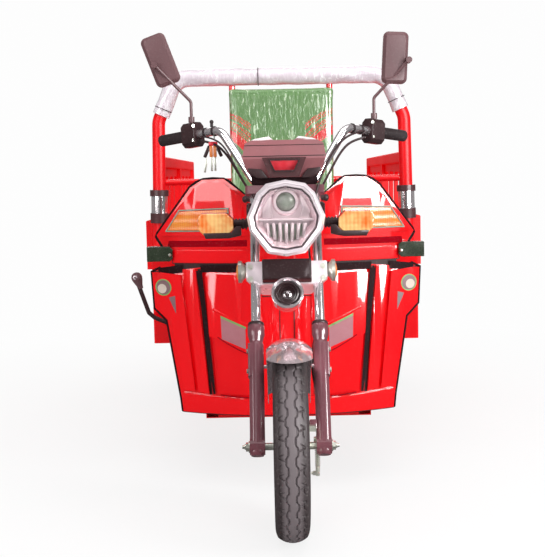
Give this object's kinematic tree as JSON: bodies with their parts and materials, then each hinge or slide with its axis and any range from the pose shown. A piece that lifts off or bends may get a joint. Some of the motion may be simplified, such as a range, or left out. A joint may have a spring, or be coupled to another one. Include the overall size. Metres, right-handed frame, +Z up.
{
  "type": "electric cargo tricycle",
  "caption": "Three-wheeled electric cargo tricycle with a raked front fork, leg shield, padded seat arch, and an open tipping cargo bed with a drop tailgate.",
  "frame": {"origin": "on the ground, under the middle of the bounding box", "axes": "+Z up, -Y to the front, +X to the rider's left"},
  "size_m": [1, 2.9299, 1.3495],
  "materials": {
    "red_paint": "gloss red",
    "red_plastic": "gloss red",
    "maroon_paint": "satin maroon grey",
    "black_plastic": "satin black",
    "dark_plastic": "satin dark brown",
    "chrome": "mirror bright",
    "silver_shell": "silver white gloss",
    "tyre": "road rubber",
    "rim": "silver paint",
    "rubber": "matt",
    "steel": "zinc plated",
    "cast": "black painted casting",
    "amber": "amber clear",
    "clear": "clear",
    "red_lens": "red clear",
    "mirror": "glass mirror",
    "reflector": "bright reflector",
    "foam": "white foam sleeve",
    "green_vinyl": "green vinyl",
    "seat_vinyl": "black vinyl",
    "battery": "matt"
  },
  "bodies": {
    "frame": {"chassis": "red_paint", "front_frame": "red_paint", "upper_shield": "red_plastic", "lower_shield": "red_plastic", "shield_liner": "black_plastic", "shield_lamps": "amber", "side_markers": "dark_plastic", "floor_tray": "black_plastic", "seat_box": "red_paint", "battery_pack": "battery", "seat_arch": "red_paint", "arch_collars": "chrome", "arch_padding": "foam", "backrest_cushion": "green_vinyl", "backrest_frame": "red_paint", "rear_axle": "cast", "drive_motor": "cast", "leaf_springs": "steel", "rear_mudguards": "red_paint", "parking_lever": "black_plastic", "brake_pedal": "steel"},
    "steering": {"fork_legs": "maroon_paint", "fork_tubes": "chrome", "lower_yoke": "silver_shell", "upper_yoke": "maroon_paint", "front_axle": "steel", "front_brake_plate": "steel", "handlebar": "chrome", "grips": "rubber", "switch_housings": "black_plastic", "mirror_shells": "black_plastic", "mirror_glasses": "mirror", "headlamp_shell": "silver_shell", "headlamp_lens": "clear", "headlamp_reflector": "reflector", "headlamp_ears": "black_plastic", "signal_lenses": "amber", "signal_stalks": "black_plastic", "instrument_housing": "dark_plastic", "instrument_window": "red_lens", "plate_block": "dark_plastic", "horn": "chrome", "fork_reflectors": "amber", "front_mudguard": "chrome"},
    "front_wheel": {"front_tyre": "tyre", "front_rim": "rim"},
    "rear_wheel_left": {"rear_tyre_left": "tyre", "rear_rim_left": "rim"},
    "rear_wheel_right": {"rear_tyre_right": "tyre", "rear_rim_right": "rim"},
    "seat": {"seat_pan": "black_plastic", "seat_cushion": "seat_vinyl"},
    "bed": {"bed_floor": "red_paint", "bed_side_left": "red_paint", "bed_side_right": "red_paint", "bed_front_panel": "red_paint", "tail_lamps": "red_lens"},
    "tailgate": {"tailgate": "red_paint"}
  },
  "joints": [
    {"name": "steering_turn", "type": "hinge", "parent": "frame", "child": "steering", "pos_m": [0, -1.19354, 0.22466], "axis": [0, 0.4384, 0.8988], "range_deg": [-40, 40]},
    {"name": "front_wheel_spin", "type": "hinge", "parent": "steering", "child": "front_wheel", "pos_m": [0, -1.225, 0.24], "axis": [1, 0, 0], "continuous": true},
    {"name": "rear_wheel_left_spin", "type": "hinge", "parent": "frame", "child": "rear_wheel_left", "pos_m": [0.397, 0.76, 0.245], "axis": [1, 0, 0], "continuous": true},
    {"name": "rear_wheel_right_spin", "type": "hinge", "parent": "frame", "child": "rear_wheel_right", "pos_m": [-0.397, 0.76, 0.245], "axis": [1, 0, 0], "continuous": true},
    {"name": "seat_lift", "type": "hinge", "parent": "frame", "child": "seat", "pos_m": [0, -0.4323, 0.683], "axis": [1, 0, 0], "range_deg": [0, 60]},
    {"name": "bed_tip", "type": "hinge", "parent": "frame", "child": "bed", "pos_m": [0, 1.305, 0.576], "axis": [-1, 0, 0], "range_deg": [0, 45]},
    {"name": "tailgate_drop", "type": "hinge", "parent": "bed", "child": "tailgate", "pos_m": [0, 1.4525, 0.6095], "axis": [-1, 0, 0], "range_deg": [0, 175]}
  ]
}
